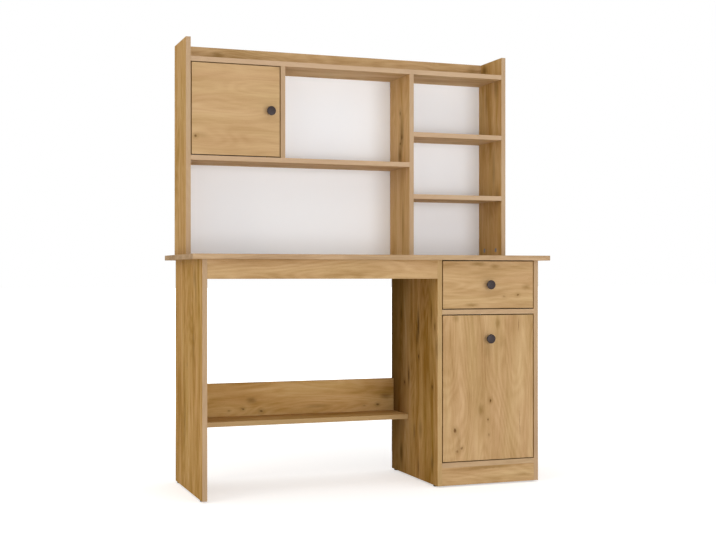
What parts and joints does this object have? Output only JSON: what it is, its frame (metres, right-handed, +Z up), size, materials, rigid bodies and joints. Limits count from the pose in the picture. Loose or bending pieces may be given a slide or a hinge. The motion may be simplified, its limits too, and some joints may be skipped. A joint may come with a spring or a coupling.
{
  "type": "student desk with hutch",
  "caption": "Flat-pack student desk in oak-faced board: drawer and door cabinet under one end, open knee space with modesty panel, and a hutch of open cells with a small door.",
  "frame": {"origin": "on the floor under the middle of the desk's overall width and depth", "axes": "+X to the sitter's right, where the cabinet stands; +Y from the front edge to the wall; +Z up"},
  "size_m": [1.2, 0.443, 1.447],
  "materials": {
    "oak_board": "satin oak-faced chipboard with banded edges",
    "white_hardboard": "white painted hardboard",
    "drawer_board": "satin oak-faced chipboard",
    "dowel_beech": "plain turned beech",
    "knob_finish": "satin graphite lacquer",
    "black_plastic": "moulded",
    "zinc_steel": "bright zinc plate",
    "nickel_steel": "nickel-plated pressings",
    "ball_steel": "polished bearing steel",
    "cage_plastic": "moulded, lightly greased"
  },
  "bodies": {
    "carcass": {"desktop": "oak_board", "left_leg_panel": "oak_board", "cabinet_left_panel": "oak_board", "cabinet_right_panel": "oak_board", "front_apron": "oak_board", "modesty_panel": "oak_board", "modesty_ledge": "oak_board", "cabinet_fixed_shelf": "oak_board", "cabinet_bottom_board": "oak_board", "cabinet_plinth": "oak_board", "cabinet_back_panel": "white_hardboard", "cabinet_loose_shelf": "oak_board", "shelf_pins": "zinc_steel", "glide_feet": "black_plastic", "hutch_left_side": "oak_board", "hutch_right_side": "oak_board", "hutch_top_shelf": "oak_board", "hutch_back_rail": "oak_board", "hutch_middle_shelf": "oak_board", "hutch_short_divider": "oak_board", "hutch_tall_divider": "oak_board", "hutch_column_lower_shelf": "oak_board", "hutch_column_upper_shelf": "oak_board", "hutch_back_panel": "white_hardboard", "slide_outer_members": "zinc_steel", "slide_fixing_screws": "zinc_steel", "hinge_plates": "nickel_steel", "hinge_plate_screws": "zinc_steel", "hinge_arms": "nickel_steel", "hinge_arm_screws": "zinc_steel", "cam_locks": "zinc_steel", "cam_bolts": "zinc_steel", "wood_dowels": "dowel_beech"},
    "drawer": {"drawer_front": "oak_board", "drawer_left_side": "drawer_board", "drawer_right_side": "drawer_board", "drawer_back_board": "drawer_board", "drawer_bottom": "white_hardboard", "drawer_dowels": "dowel_beech", "drawer_knob": "knob_finish", "drawer_knob_screw": "zinc_steel", "slide_inner_members": "zinc_steel", "drawer_slide_screws": "zinc_steel"},
    "slide_middles": {"slide_middle_members": "zinc_steel", "slide_ball_cages": "cage_plastic", "slide_balls": "ball_steel"},
    "cabinet_door": {"cabinet_door": "oak_board", "cabinet_door_knob": "knob_finish", "cabinet_door_knob_screw": "zinc_steel", "cabinet_hinge_cups": "nickel_steel", "cabinet_hinge_cup_screws": "zinc_steel", "cabinet_hinge_pins": "zinc_steel"},
    "hutch_door": {"hutch_door": "oak_board", "hutch_door_knob": "knob_finish", "hutch_door_knob_screw": "zinc_steel", "hutch_hinge_cups": "nickel_steel", "hutch_hinge_cup_screws": "zinc_steel", "hutch_hinge_pins": "zinc_steel"}
  },
  "joints": [
    {"name": "drawer_slide", "type": "slide", "parent": "carcass", "child": "drawer", "axis": [0, -1, 0], "range_m": [0, 0.33]},
    {"name": "slide_middle_travel", "type": "slide", "parent": "carcass", "child": "slide_middles", "axis": [0, -1, 0], "range_m": [0, 0.165]},
    {"name": "cabinet_door_swing", "type": "hinge", "parent": "carcass", "child": "cabinet_door", "pos_m": [0.535, -0.1906, 0.3185], "axis": [0, 0, 1], "range_deg": [0, 95]},
    {"name": "hutch_door_swing", "type": "hinge", "parent": "carcass", "child": "hutch_door", "pos_m": [-0.535, 0.0464, 1.22], "axis": [0, 0, -1], "range_deg": [0, 95]}
  ],
  "couplings": [
    {"joint": "slide_middle_travel", "follows": "drawer_slide", "ratio": 0.5}
  ]
}
